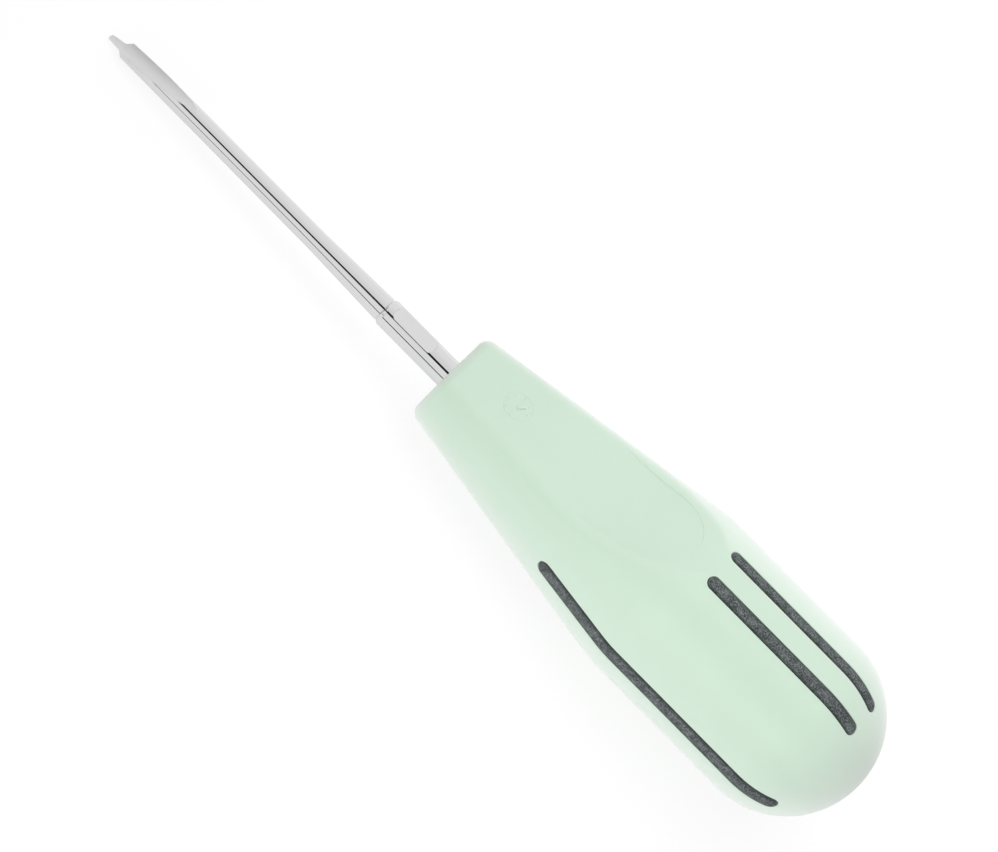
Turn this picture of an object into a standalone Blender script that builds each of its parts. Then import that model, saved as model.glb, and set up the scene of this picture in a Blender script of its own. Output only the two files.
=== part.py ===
"""Periotome: a ground steel blade on a round shank, set in a moulded handle with soft grip strips.

Instrument axes: X runs from the blade tip (-X) to the domed end of the handle (+X), and is zero
at the handle's front face. Z points out of the upper thumb flat. The finished instrument lies on
the plane z = 0, on its blade tip and on the fore ends of its two lower grip strips.
"""
import math

import bmesh
import bpy
import numpy as np

# Shank, from the blade tip back to the end of the tang (metres)
EXPOSED_LENGTH = 0.0686
SHAFT_RADIUS = 0.00153
SHAFT_REAR_RADIUS = 0.00163
TAPER_LENGTH = 0.0140
NECK_RADIUS = 0.0020
FERRULE_RADIUS = 0.00225
FERRULE_LENGTH = 0.0124
FERRULE_CHAMFER = 0.00045
TANG_LENGTH = 0.0350
TANG_CHAMFER = 0.0005

# Flat ground on the ferrule for the size mark
SIZE_FLAT_LENGTH = 0.0080
SIZE_FLAT_SETBACK = 0.0037
SIZE_FLAT_DEPTH = 0.00043
SIZE_FLAT_RUNOUT = 0.0008

# Blade: a narrow turned tongue, a conical shoulder, and a concave flute along the upper side
TONGUE_LENGTH = 0.0025
TONGUE_TIP_RADIUS = 0.00080
TONGUE_ROOT_RADIUS = 0.00086
TONGUE_END_ROUNDING = 0.0005
SHOULDER_FILLET = 0.0005
SHOULDER_ANGLE = math.radians(39.0)
TIP_THICKNESS = 0.0001
FLUTE_RADIUS = 0.0026
FLUTE_LENGTH = 0.0163
FLUTE_SWEEP_RADIUS = 0.143

# Handle body, from its front face back to the end of the dome
FRONT_RADIUS = 0.0076
FRONT_EDGE_RADIUS = 0.0014
CONE_LENGTH = 0.0431
WAIST_BLEND_RADIUS = 0.0200
BARREL_RADIUS = 0.0143
BARREL_LENGTH = 0.0257
DOME_LENGTH = 0.0141

# Thumb flats above and below, each ending in a ramp up to the barrel
FLAT_FRONT_HEIGHT = 0.0055
FLAT_ANGLE = math.radians(5.15)
RAMP_ANGLE = math.radians(21.3)
RAMP_OVERRUN = 0.0023
RAMP_BLEND_RADIUS = 0.050
RAMP_CREST_RADIUS = 0.016
RIDGE_RADIUS = 0.0030

# Grip strips, inlaid along the handle: a pair behind each thumb flat, a wider one along each side
PAIR_STRIP_WIDTH = 0.0020
SIDE_STRIP_WIDTH = 0.0025
STRIP_DEPTH = 0.0012
STRIP_PROUD = 0.0002
STRIP_EDGE_RADIUS = 0.00015
STRIP_DOME_REACH = 0.0072
PAIR_ANGLE = math.radians(12.1)
PAIR_STRIP_LAG = 0.0031
SIDE_STRIP_LEAD = 0.0151

# Clearance between a piece and the pocket that holds it
SEAT_GAP = 0.0002

# How finely the round forms are divided
SHANK_SIDES = 40
HANDLE_SIDES = 96
ARC_STEPS = 6
FRONT_EDGE_STEPS = 4
CONE_STATIONS = 4
RAMP_STATIONS = 20
BARREL_STATIONS = 2
DOME_STEPS = 12
FLUTE_STATIONS = 12
STRIP_RIM_STEPS = 2
STRIP_SPACING = 0.0020
MERIDIAN_SAMPLES = 600
SHARP_ANGLE = math.radians(30)

# Rounds of the search for the tilt at which the instrument lies
TILT_ROUNDS = 6

DOME_START = CONE_LENGTH + BARREL_LENGTH
HANDLE_LENGTH = DOME_START + DOME_LENGTH
RAMP_END = CONE_LENGTH + RAMP_OVERRUN
CUT_MARGIN = 0.001


def clear_scene():
    for obj in list(bpy.data.objects):
        bpy.data.objects.remove(obj, do_unlink=True)


def make_material(name, colour, roughness, metallic):
    material = bpy.data.materials.new(name)
    material.use_nodes = True
    shader = material.node_tree.nodes["Principled BSDF"]
    shader.inputs["Base Color"].default_value = (*colour, 1.0)
    shader.inputs["Roughness"].default_value = roughness
    shader.inputs["Metallic"].default_value = metallic
    material.diffuse_color = (*colour, 1.0)
    return material


def finish_mesh(name, bm):
    """Turn a closed bmesh into mesh data with its faces out and its round parts smooth."""
    bmesh.ops.recalc_face_normals(bm, faces=bm.faces)
    mesh = bpy.data.meshes.new(name)
    bm.to_mesh(mesh)
    bm.free()
    mesh.shade_smooth()
    mesh.set_sharp_from_angle(angle=SHARP_ANGLE)
    return mesh


def add_piece(name, mesh, frame, material=None, roll=0.0):
    """Place mesh data as an object of the instrument, turned about the instrument's axis."""
    obj = bpy.data.objects.new(name, mesh)
    bpy.context.collection.objects.link(obj)
    obj.parent = frame
    obj.rotation_euler = (roll, 0.0, 0.0)
    if material is None:
        obj.hide_render = True
        obj.display_type = "WIRE"
    elif not mesh.materials:
        mesh.materials.append(material)
    return obj


def cut(target, tool):
    modifier = target.modifiers.new(tool.name, "BOOLEAN")
    modifier.operation = "DIFFERENCE"
    modifier.solver = "EXACT"
    modifier.object = tool


def loft(name, sections):
    """Closed solid through sections of equal point count; a section of one point is a pole."""
    bm = bmesh.new()
    rings = [[bm.verts.new(point) for point in section] for section in sections]
    for near, far in zip(rings, rings[1:]):
        count = max(len(near), len(far))
        for i in range(count):
            j = (i + 1) % count
            if len(far) == 1:
                bm.faces.new((near[i], near[j], far[0]))
            elif len(near) == 1:
                bm.faces.new((near[0], far[j], far[i]))
            else:
                bm.faces.new((near[i], near[j], far[j], far[i]))
    for ring in (rings[0], rings[-1]):
        if len(ring) > 1:
            bm.faces.new(ring)
    return finish_mesh(name, bm)


def circle_section(x, centre_z, radius, sides):
    """Ring of points round an axis that runs along X at the height centre_z."""
    angles = [2 * math.pi * (i + 0.5) / sides for i in range(sides)]
    return [(x, radius * math.sin(a), centre_z + radius * math.cos(a)) for a in angles]


def rounded_outline(points, radii, steps):
    """Closed outline with its corners rounded; a radius of zero keeps a corner sharp."""
    outline = []
    count = len(points)
    for i in range(count):
        corner = np.array(points[i])
        if radii[i] == 0:
            outline.append(tuple(corner))
            continue
        back = np.array(points[i - 1]) - corner
        ahead = np.array(points[(i + 1) % count]) - corner
        back /= np.linalg.norm(back)
        ahead /= np.linalg.norm(ahead)
        half = math.acos(np.clip(back @ ahead, -1, 1)) / 2
        bisector = (back + ahead) / np.linalg.norm(back + ahead)
        centre = corner + bisector * radii[i] / math.sin(half)
        first = corner + back * radii[i] / math.tan(half) - centre
        last = corner + ahead * radii[i] / math.tan(half) - centre
        for k in range(steps + 1):
            share = k / steps
            spoke = first * (1 - share) + last * share
            outline.append(tuple(centre + spoke * radii[i] / np.linalg.norm(spoke)))
    return outline


def blended_lines(x, corner_x, corner_z, slope_before, slope_after, radius):
    """Height at x of two lines that meet at a corner, with a round blend tangent to both."""
    before = math.atan(slope_before)
    after = math.atan(slope_after)
    reach = radius * math.tan(abs(after - before) / 2)
    start = corner_x - reach * math.cos(before)
    end = corner_x + reach * math.cos(after)
    if x <= start:
        return corner_z + slope_before * (x - corner_x)
    if x >= end:
        return corner_z + slope_after * (x - corner_x)
    side = 1 if after > before else -1
    centre_x = start - side * radius * math.sin(before)
    centre_z = corner_z + slope_before * (start - corner_x) + side * radius * math.cos(before)
    return centre_z - side * math.sqrt(radius ** 2 - (x - centre_x) ** 2)


def handle_radius(x):
    """Radius of the turned form under the flats: cone, barrel and dome."""
    if x > DOME_START:
        return BARREL_RADIUS * math.sqrt(max(0.0, 1 - ((x - DOME_START) / DOME_LENGTH) ** 2))
    cone_slope = (BARREL_RADIUS - FRONT_RADIUS) / CONE_LENGTH
    return blended_lines(x, CONE_LENGTH, BARREL_RADIUS, cone_slope, 0.0, WAIST_BLEND_RADIUS)


def ramp_start():
    """Where the thumb flat turns up into its ramp."""
    flat_slope = math.tan(FLAT_ANGLE)
    ramp_slope = math.tan(RAMP_ANGLE)
    return (FLAT_FRONT_HEIGHT - BARREL_RADIUS + ramp_slope * RAMP_END) / (ramp_slope - flat_slope)


def ramp_round(radius, turn):
    """Radius and reach of the round at one end of the ramp, which takes at most half of the ramp."""
    half_ramp = (RAMP_END - ramp_start()) / 2 / math.cos(RAMP_ANGLE)
    reach = min(radius * math.tan(turn / 2), half_ramp)
    return reach / math.tan(turn / 2), reach


def flat_height(x):
    """Height of a thumb flat and its ramp above the axis."""
    flat_slope = math.tan(FLAT_ANGLE)
    ramp_slope = math.tan(RAMP_ANGLE)
    corner = ramp_start()
    if x < (corner + RAMP_END) / 2:
        height = FLAT_FRONT_HEIGHT + flat_slope * corner
        radius, _ = ramp_round(RAMP_BLEND_RADIUS, RAMP_ANGLE - FLAT_ANGLE)
        return blended_lines(x, corner, height, flat_slope, ramp_slope, radius)
    radius, _ = ramp_round(RAMP_CREST_RADIUS, RAMP_ANGLE)
    return blended_lines(x, RAMP_END, BARREL_RADIUS, ramp_slope, 0.0, radius)


def section_radius(x, angle, inset):
    """Distance from the axis to the handle's surface, at an angle from the thumb flat's normal.

    The section is a circle cut by two flats, with the ridges between them rounded. An inset
    shrinks it evenly, as the rounded front edge does.
    """
    turned = handle_radius(x) - inset
    flat = flat_height(x) - inset
    if flat >= turned:
        return turned
    ridge = RIDGE_RADIUS - inset
    centre_z = flat - ridge
    centre_y = math.sqrt((turned - ridge) ** 2 - centre_z ** 2)
    side = math.atan2(abs(math.sin(angle)), abs(math.cos(angle)))
    if side <= math.atan2(centre_y, flat):
        return flat / math.cos(side)
    if side >= math.atan2(centre_y, centre_z):
        return turned
    along = centre_y * math.sin(side) + centre_z * math.cos(side)
    return along + math.sqrt(ridge ** 2 - centre_y ** 2 - centre_z ** 2 + along ** 2)


def handle_section(x, inset=0.0):
    angles = [2 * math.pi * i / HANDLE_SIDES for i in range(HANDLE_SIDES)]
    radii = [section_radius(x, a, inset) for a in angles]
    return [(x, r * math.sin(a), r * math.cos(a)) for a, r in zip(angles, radii)]


def spaced(start, end, count):
    """Evenly spaced stations from start up to, but not including, end."""
    return [start + (end - start) * i / count for i in range(count)]


def handle_mesh():
    """Moulded body: rounded front edge, cone with two thumb flats and ramps, barrel and dome."""
    sections = []
    for angle in spaced(0.0, math.pi / 2, FRONT_EDGE_STEPS):
        inset = FRONT_EDGE_RADIUS * (1 - math.sin(angle))
        sections.append(handle_section(FRONT_EDGE_RADIUS * (1 - math.cos(angle)), inset))
    _, blend_reach = ramp_round(RAMP_BLEND_RADIUS, RAMP_ANGLE - FLAT_ANGLE)
    _, crest_reach = ramp_round(RAMP_CREST_RADIUS, RAMP_ANGLE)
    lead = ramp_start() - blend_reach
    crest_end = RAMP_END + crest_reach
    stations = spaced(FRONT_EDGE_RADIUS, lead, CONE_STATIONS)
    stations += spaced(lead, crest_end, RAMP_STATIONS)
    stations += spaced(crest_end, DOME_START, BARREL_STATIONS)
    stations += [DOME_START + DOME_LENGTH * math.sin(a) for a in spaced(0.0, math.pi / 2, DOME_STEPS)]
    sections += [handle_section(x) for x in stations]
    sections.append([(HANDLE_LENGTH, 0.0, 0.0)])
    return loft("handle", sections)


def meridian(start, end):
    """Surface point and outward normal by arc length along the turned form, and the arc's length."""
    xs = np.linspace(start - CUT_MARGIN, end + CUT_MARGIN, MERIDIAN_SAMPLES)
    radii = np.array([handle_radius(x) for x in xs])
    arc = np.concatenate(([0.0], np.cumsum(np.hypot(np.diff(xs), np.diff(radii)))))
    arc -= np.interp(start, xs, arc)
    length = float(np.interp(end, xs, arc))
    tilt = np.arctan2(np.gradient(radii), np.gradient(xs))

    def surface(s):
        slope = float(np.interp(s, arc, tilt))
        point = np.array([np.interp(s, arc, xs), 0.0, np.interp(s, arc, radii)])
        return point, np.array([-math.sin(slope), 0.0, math.cos(slope)])

    return surface, length


def inlay_mesh(name, width, start, end, levels):
    """Round-ended bar along the top of the turned form.

    Each level is a height above the surface and an inset of the bar's plan outline.
    """
    surface, length = meridian(start, end)
    half_width = width / 2
    straight = max(2, round((length - width) / STRIP_SPACING))
    turns = spaced(0.0, math.pi / 2, ARC_STEPS)[1:]
    bm = bmesh.new()
    rings = []
    for height, inset in levels:
        radius = half_width - inset
        plan = [(half_width - radius * math.cos(a), radius * math.sin(a)) for a in turns]
        plan += [(s, radius) for s in spaced(half_width, length - half_width, straight)]
        plan += [(length - half_width, radius)]
        plan += [
            (length - half_width + radius * math.cos(a), radius * math.sin(a)) for a in reversed(turns)
        ]
        outline = [(half_width - radius, 0.0)] + plan
        outline += [(length - half_width + radius, 0.0)]
        outline += [(s, -side) for s, side in reversed(plan)]
        ring = []
        for s, side in outline:
            point, normal = surface(s)
            ring.append(bm.verts.new(point + normal * height + np.array([0.0, side, 0.0])))
        rings.append(ring)
    count = len(rings[0])
    for low, high in zip(rings, rings[1:]):
        for i in range(count):
            j = (i + 1) % count
            bm.faces.new((low[i], low[j], high[j], high[i]))
    for ring in (rings[0], rings[-1]):
        bm.faces.new((ring[0], ring[1], ring[-1]))
        for i in range(1, count // 2 - 1):
            bm.faces.new((ring[i], ring[i + 1], ring[count - i - 1], ring[count - i]))
        middle = count // 2
        bm.faces.new((ring[middle - 1], ring[middle], ring[middle + 1]))
    return finish_mesh(name, bm)


def strip_levels():
    """Flat-bottomed bar with a rounded rim, standing a little proud of the handle."""
    levels = [(-STRIP_DEPTH, 0.0)]
    for angle in spaced(0.0, math.pi / 2, STRIP_RIM_STEPS) + [math.pi / 2]:
        rise = STRIP_PROUD - STRIP_EDGE_RADIUS * (1 - math.sin(angle))
        levels.append((rise, STRIP_EDGE_RADIUS * (1 - math.cos(angle))))
    return levels


def groove_levels():
    return [(-STRIP_DEPTH - SEAT_GAP, -SEAT_GAP), (STRIP_PROUD + CUT_MARGIN, -SEAT_GAP)]


def shank_mesh():
    """Turned bar: rounded tongue, conical shoulder, shaft, taper, ferrule and plain tang."""
    tip = -EXPOSED_LENGTH
    root = tip + TONGUE_LENGTH
    shoulder = root + (SHAFT_RADIUS - TONGUE_ROOT_RADIUS) / math.tan(SHOULDER_ANGLE)
    neck = -FERRULE_LENGTH - FERRULE_CHAMFER
    corners = [
        (tip, 0.0, 0.0),
        (tip, TONGUE_TIP_RADIUS, TONGUE_END_ROUNDING),
        (root, TONGUE_ROOT_RADIUS, SHOULDER_FILLET),
        (shoulder, SHAFT_RADIUS, 0.0),
        (neck - TAPER_LENGTH, SHAFT_REAR_RADIUS, 0.0),
        (neck, NECK_RADIUS, 0.0),
        (-FERRULE_LENGTH, FERRULE_RADIUS, 0.0),
        (TANG_LENGTH - TANG_CHAMFER, FERRULE_RADIUS, 0.0),
        (TANG_LENGTH, FERRULE_RADIUS - TANG_CHAMFER, 0.0),
        (TANG_LENGTH, 0.0, 0.0),
    ]
    outline = rounded_outline([c[:2] for c in corners], [c[2] for c in corners], ARC_STEPS)
    return loft("shank", [circle_section(x, 0.0, r, SHANK_SIDES) for x, r in outline if r > 0])


def flute_floor(from_tip):
    """Height of the flute's floor above the axis: an arc that rises out of the shaft."""
    tip_height = TIP_THICKNESS - TONGUE_TIP_RADIUS
    bend = 1 / (2 * FLUTE_SWEEP_RADIUS)
    slope = (SHAFT_RADIUS - tip_height) / FLUTE_LENGTH - bend * FLUTE_LENGTH
    return tip_height + slope * from_tip + bend * from_tip ** 2


def flute_mesh():
    """Round cutter whose underside follows the flute's floor, past both ends of the flute."""
    start = -2 * CUT_MARGIN
    end = FLUTE_LENGTH + 2 * CUT_MARGIN
    stations = spaced(start, end, FLUTE_STATIONS) + [end]
    sections = [
        circle_section(s - EXPOSED_LENGTH, flute_floor(s) + FLUTE_RADIUS, FLUTE_RADIUS, SHANK_SIDES)
        for s in stations
    ]
    return loft("flute_cutter", sections)


def size_flat_mesh():
    """Cutter for the flat on the ferrule, with a round run-out at each end."""
    front = -SIZE_FLAT_SETBACK - SIZE_FLAT_LENGTH
    back = -SIZE_FLAT_SETBACK
    low = FERRULE_RADIUS - SIZE_FLAT_DEPTH
    high = FERRULE_RADIUS + SIZE_FLAT_RUNOUT
    corners = [(front, low), (back, low), (back, high), (front, high)]
    radii = [SIZE_FLAT_RUNOUT, SIZE_FLAT_RUNOUT, 0.0, 0.0]
    outline = rounded_outline(corners, radii, ARC_STEPS)
    width = FERRULE_RADIUS + CUT_MARGIN
    return loft("size_flat_cutter", [[(x, y, z) for x, z in outline] for y in (-width, width)])


def socket_mesh():
    """Blind hole in the handle that holds the tang."""
    radius = FERRULE_RADIUS + SEAT_GAP
    ends = (-CUT_MARGIN, TANG_LENGTH + SEAT_GAP)
    return loft("socket_cutter", [circle_section(x, 0.0, radius, SHANK_SIDES) for x in ends])


def build_shank(frame):
    steel = make_material("polished_steel", (0.62, 0.62, 0.63), 0.18, 1.0)
    shank = add_piece("blade_shank", shank_mesh(), frame, steel)
    cut(shank, add_piece("flute_cutter", flute_mesh(), frame))
    cut(shank, add_piece("size_flat_cutter", size_flat_mesh(), frame))
    return shank


def build_handle(frame):
    plastic = make_material("mint_plastic", (0.66, 0.81, 0.68), 0.42, 0.0)
    handle = add_piece("handle", handle_mesh(), frame, plastic)
    cut(handle, add_piece("socket_cutter", socket_mesh(), frame))
    return handle


def build_strips(frame, handle):
    """Two strips behind each thumb flat and one along each side, each in its own groove."""
    rubber = make_material("grip_elastomer", (0.10, 0.12, 0.12), 0.85, 0.0)
    end = DOME_START + STRIP_DOME_REACH
    runs = {
        "pair": (PAIR_STRIP_WIDTH, CONE_LENGTH + PAIR_STRIP_LAG, end),
        "side": (SIDE_STRIP_WIDTH, CONE_LENGTH - SIDE_STRIP_LEAD, end),
    }
    strips = {kind: inlay_mesh("strip_" + kind, *run, strip_levels()) for kind, run in runs.items()}
    grooves = {kind: inlay_mesh("groove_" + kind, *run, groove_levels()) for kind, run in runs.items()}
    places = {
        "top_left": ("pair", -PAIR_ANGLE),
        "top_right": ("pair", PAIR_ANGLE),
        "bottom_left": ("pair", math.pi + PAIR_ANGLE),
        "bottom_right": ("pair", math.pi - PAIR_ANGLE),
        "side_left": ("side", -math.pi / 2),
        "side_right": ("side", math.pi / 2),
    }
    pieces = []
    for place, (kind, roll) in places.items():
        pieces.append(add_piece("grip_strip_" + place, strips[kind], frame, rubber, roll))
        cut(handle, add_piece("groove_" + place, grooves[kind], frame, roll=roll))
    return pieces


def world_points(obj):
    """Vertices of an object as it stands, with its modifiers, in world space."""
    evaluated = obj.evaluated_get(bpy.context.evaluated_depsgraph_get())
    mesh = evaluated.to_mesh()
    flat = np.empty(len(mesh.vertices) * 3)
    mesh.vertices.foreach_get("co", flat)
    evaluated.to_mesh_clear()
    matrix = np.array(evaluated.matrix_world)
    return flat.reshape(-1, 3) @ matrix[:3, :3].T + matrix[:3, 3]


def lay_down(frame, fore, rest):
    """Tilt the instrument until its tip and its strips both touch z = 0, then centre its box."""
    bpy.context.view_layer.update()
    fore_points = world_points(fore)
    rest_points = np.vstack([world_points(obj) for obj in rest])
    tilt = 0.0
    for _ in range(TILT_ROUNDS):
        up = np.array([math.sin(tilt), 0.0, math.cos(tilt)])
        tip = fore_points[np.argmin(fore_points @ up)]
        heel = rest_points[np.argmin(rest_points @ up)]
        tilt = math.atan2(tip[2] - heel[2], heel[0] - tip[0])
    frame.rotation_euler = (0.0, -tilt, 0.0)
    bpy.context.view_layer.update()
    points = np.vstack([world_points(obj) for obj in [fore, *rest]])
    low = points.min(axis=0)
    high = points.max(axis=0)
    frame.location = (-(low[0] + high[0]) / 2, 0.0, -low[2])
    bpy.context.view_layer.update()


def main():
    clear_scene()
    frame = bpy.data.objects.new("instrument", None)
    bpy.context.collection.objects.link(frame)
    shank = build_shank(frame)
    handle = build_handle(frame)
    strips = build_strips(frame, handle)
    lay_down(frame, shank, [handle, *strips])


main()
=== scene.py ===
"""Looks of the periotome: polished steel blade and shank, satin moulded handle, speckled soft strips.

Instrument axes, used for every piece here: X runs from the blade tip (-X) to the domed end of the
handle (+X) and is zero at the handle's front face, and Z points out of the upper thumb flat. The
instrument lies tilted on the floor, and REST_TILT and FRONT_CENTRE give how. All lengths are metres.
"""
import math

import bmesh
import bpy
import numpy as np
from mathutils import Matrix, Vector


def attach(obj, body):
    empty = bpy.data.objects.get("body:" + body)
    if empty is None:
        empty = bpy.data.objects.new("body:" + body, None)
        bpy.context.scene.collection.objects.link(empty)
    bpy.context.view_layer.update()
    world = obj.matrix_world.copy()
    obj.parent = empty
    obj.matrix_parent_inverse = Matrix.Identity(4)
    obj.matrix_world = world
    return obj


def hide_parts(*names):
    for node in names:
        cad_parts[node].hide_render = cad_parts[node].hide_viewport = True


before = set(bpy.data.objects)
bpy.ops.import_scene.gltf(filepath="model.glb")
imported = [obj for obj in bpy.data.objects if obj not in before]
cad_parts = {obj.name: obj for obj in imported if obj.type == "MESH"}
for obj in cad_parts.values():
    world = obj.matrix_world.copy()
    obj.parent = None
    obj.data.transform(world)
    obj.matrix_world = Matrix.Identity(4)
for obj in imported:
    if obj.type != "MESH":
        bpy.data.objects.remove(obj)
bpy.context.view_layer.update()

MM = 0.001

# How the instrument lies
REST_TILT = math.radians(6.5205263)
FRONT_CENTRE = Vector((-7.270609, 0.0, 8.927721)) * MM

# The photograph's view
IMAGE_WIDTH = 998
IMAGE_HEIGHT = 852
PIXELS_PER_METRE = 7000.0
FRONT_CENTRE_PIXEL = (448.7, 374.4)
VIEW_ROLL = math.radians(36.3)
VIEW_SLANT = math.radians(45.3)
CAMERA_DISTANCE = 0.650
SENSOR_WIDTH = 36.0

# The studio's low side fill comes from the near side, a little above the floor
FILL_DIRECTION = Vector((0.0, -0.94, 0.34))

# Blade and shank
EXPOSED_LENGTH = 68.6 * MM
SHAFT_RADIUS = 1.53 * MM
SHAFT_REAR_RADIUS = 1.63 * MM
TAPER_LENGTH = 14.0 * MM
NECK_RADIUS = 2.0 * MM
FERRULE_RADIUS = 2.25 * MM
FERRULE_LENGTH = 12.4 * MM
FERRULE_CHAMFER = 0.45 * MM
NECK_GROOVE_WIDTH = 0.24 * MM
NECK_GROOVE_DEPTH = 0.11 * MM
TANG_LENGTH = 35.0 * MM
TANG_CHAMFER = 0.5 * MM
SIZE_FLAT_LENGTH = 8.0 * MM
SIZE_FLAT_SETBACK = 3.7 * MM
SIZE_FLAT_DEPTH = 0.43 * MM
SIZE_FLAT_RUNOUT = 0.8 * MM
TONGUE_LENGTH = 2.5 * MM
TONGUE_TIP_RADIUS = 0.80 * MM
TONGUE_ROOT_RADIUS = 0.86 * MM
TONGUE_END_ROUNDING = 0.5 * MM
SHOULDER_FILLET = 0.5 * MM
SHOULDER_ANGLE = math.radians(39.0)
EDGE_BREAK = 0.05 * MM
TIP_THICKNESS = 0.1 * MM
FLUTE_RADIUS = 2.6 * MM
FLUTE_LENGTH = 16.3 * MM
FLUTE_SWEEP_RADIUS = 143.0 * MM

# Handle
FRONT_RADIUS = 7.6 * MM
FRONT_EDGE_RADIUS = 1.4 * MM
CONE_LENGTH = 43.1 * MM
WAIST_BLEND_RADIUS = 20.0 * MM
BARREL_RADIUS = 14.3 * MM
BARREL_LENGTH = 25.7 * MM
DOME_LENGTH = 14.1 * MM
FLAT_FRONT_HEIGHT = 5.5 * MM
FLAT_ANGLE = math.radians(5.15)
RAMP_ANGLE = math.radians(21.3)
RAMP_OVERRUN = 2.3 * MM
RAMP_BLEND_RADIUS = 50.0 * MM
RAMP_CREST_RADIUS = 16.0 * MM
RIDGE_RADIUS = 3.0 * MM
SOCKET_GAP = 0.05 * MM
SOCKET_CHAMFER = 0.15 * MM

# Shallow sunk panel on each thumb flat, with a round end on the ramp
PANEL_HALF_WIDTH = 6.6 * MM
PANEL_END = 42.2 * MM
PANEL_ROUND_START = 34.5 * MM
PANEL_FULL_START = 30.0 * MM
PANEL_FADE_START = 23.0 * MM
PANEL_WIDENING = 0.1
PANEL_DEPTH = 0.13 * MM
PANEL_WALL = 0.05 * MM

# Small round moulding mark on the upper flat
MARK_PLACE = 10.2 * MM
MARK_RADIUS = 2.4 * MM
MARK_LINE = 0.24 * MM
MARK_DEPTH = 0.05 * MM
MARK_RISE = 0.22 * MM
MARK_DOTS = 8
MARK_DOT_RADIUS = 0.2 * MM
MARK_BAR_LENGTH = 1.7 * MM
MARK_BAR_WIDTH = 0.44 * MM
MARK_BAR_PLACE = (0.48 * MM, 0.25 * MM)
MARK_SLOT_WIDTH = 0.2 * MM
MARK_SLOT_DEPTH = 0.09 * MM
MARK_TURN = math.radians(51.4)

# Grip strips
PAIR_STRIP_WIDTH = 1.98 * MM
SIDE_STRIP_WIDTH = 2.52 * MM
STRIP_DEPTH = 1.2 * MM
STRIP_PROUD = 0.16 * MM
STRIP_EDGE_RADIUS = 0.36 * MM
STRIP_CROWN = 0.05 * MM
STRIP_DOME_REACH = 7.2 * MM
PAIR_ANGLE = math.radians(12.1)
PAIR_STRIP_LAG = 3.1 * MM
SIDE_STRIP_LEAD = 15.1 * MM
GROOVE_GAP = 0.07 * MM
GROOVE_LIP_RADIUS = 0.12 * MM

SHANK_SIDES = 192
HANDLE_SIDES = 336
FINE_ARC_STEPS = 10

DOME_START = CONE_LENGTH + BARREL_LENGTH
HANDLE_LENGTH = DOME_START + DOME_LENGTH
RAMP_END = CONE_LENGTH + RAMP_OVERRUN
CUT_MARGIN = 1.0 * MM
SLIVER = 0.001 * MM

REST = Matrix.Translation(FRONT_CENTRE) @ Matrix.Rotation(-REST_TILT, 4, "Y")


# ---- Meshes

def mesh_from(name, points, faces):
    mesh = bpy.data.meshes.new(name)
    mesh.from_pydata([tuple(p) for p in points], [], [tuple(f) for f in faces])
    bm = bmesh.new()
    bm.from_mesh(mesh)
    bmesh.ops.recalc_face_normals(bm, faces=bm.faces)
    bm.to_mesh(mesh)
    bm.free()
    return mesh


def loft(name, sections):
    """Closed solid through rings of equal point count; a ring of one point is a pole."""
    points = []
    starts = []
    for section in sections:
        starts.append(len(points))
        points.extend(section)
    faces = []
    for k in range(len(sections) - 1):
        near, far = starts[k], starts[k + 1]
        near_count, far_count = len(sections[k]), len(sections[k + 1])
        count = max(near_count, far_count)
        for i in range(count):
            j = (i + 1) % count
            if far_count == 1:
                faces.append((near + i, near + j, far))
            elif near_count == 1:
                faces.append((near, far + j, far + i))
            else:
                faces.append((near + i, near + j, far + j, far + i))
    for start, section in ((starts[0], sections[0]), (starts[-1], sections[-1])):
        if len(section) > 1:
            faces.append(range(start, start + len(section)))
    return mesh_from(name, points, faces)


def joined(name, meshes):
    """One mesh that holds several separate closed shells."""
    bm = bmesh.new()
    for mesh in meshes:
        bm.from_mesh(mesh)
    out = bpy.data.meshes.new(name)
    bm.to_mesh(out)
    bm.free()
    return out


def turned(mesh, roll):
    """The mesh turned about the instrument's axis."""
    mesh.transform(Matrix.Rotation(roll, 4, "X"))
    return mesh


def with_cuts(mesh, cuts, bosses=()):
    """The mesh with each boss mesh added to it and each tool mesh cut out of it."""
    target = bpy.data.objects.new("target", mesh)
    bpy.context.scene.collection.objects.link(target)
    made = [target]
    steps = [("UNION", boss) for boss in bosses] + [("DIFFERENCE", cut) for cut in cuts]
    for operation, tool_mesh in steps:
        tool = bpy.data.objects.new("tool", tool_mesh)
        bpy.context.scene.collection.objects.link(tool)
        made.append(tool)
        modifier = target.modifiers.new("step", "BOOLEAN")
        modifier.operation = operation
        modifier.solver = "EXACT"
        modifier.object = tool
    bpy.context.view_layer.update()
    evaluated = target.evaluated_get(bpy.context.evaluated_depsgraph_get())
    result = bpy.data.meshes.new_from_object(evaluated)
    for obj in made:
        bpy.data.objects.remove(obj, do_unlink=True)
    return result


def without_slivers(mesh):
    """The mesh without the few faces of no area that its cuts left."""
    bm = bmesh.new()
    bm.from_mesh(mesh)
    bmesh.ops.dissolve_degenerate(bm, dist=SLIVER, edges=bm.edges)
    bm.to_mesh(mesh)
    bm.free()
    return mesh


def add_piece(name, mesh, material, sharp_angle, node):
    """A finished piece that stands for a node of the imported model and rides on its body."""
    mesh.shade_smooth()
    mesh.set_sharp_from_angle(angle=sharp_angle)
    mesh.materials.clear()
    mesh.materials.append(material)
    mesh.transform(REST)
    obj = bpy.data.objects.new(name, mesh)
    bpy.context.scene.collection.objects.link(obj)
    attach(obj, "root")
    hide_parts(node)
    return obj


# ---- Shapes shared by the pieces

def spaced(start, end, step):
    """Evenly spaced stations from start up to, but not including, end."""
    count = max(1, math.ceil((end - start) / step))
    return [start + (end - start) * i / count for i in range(count)]


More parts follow.
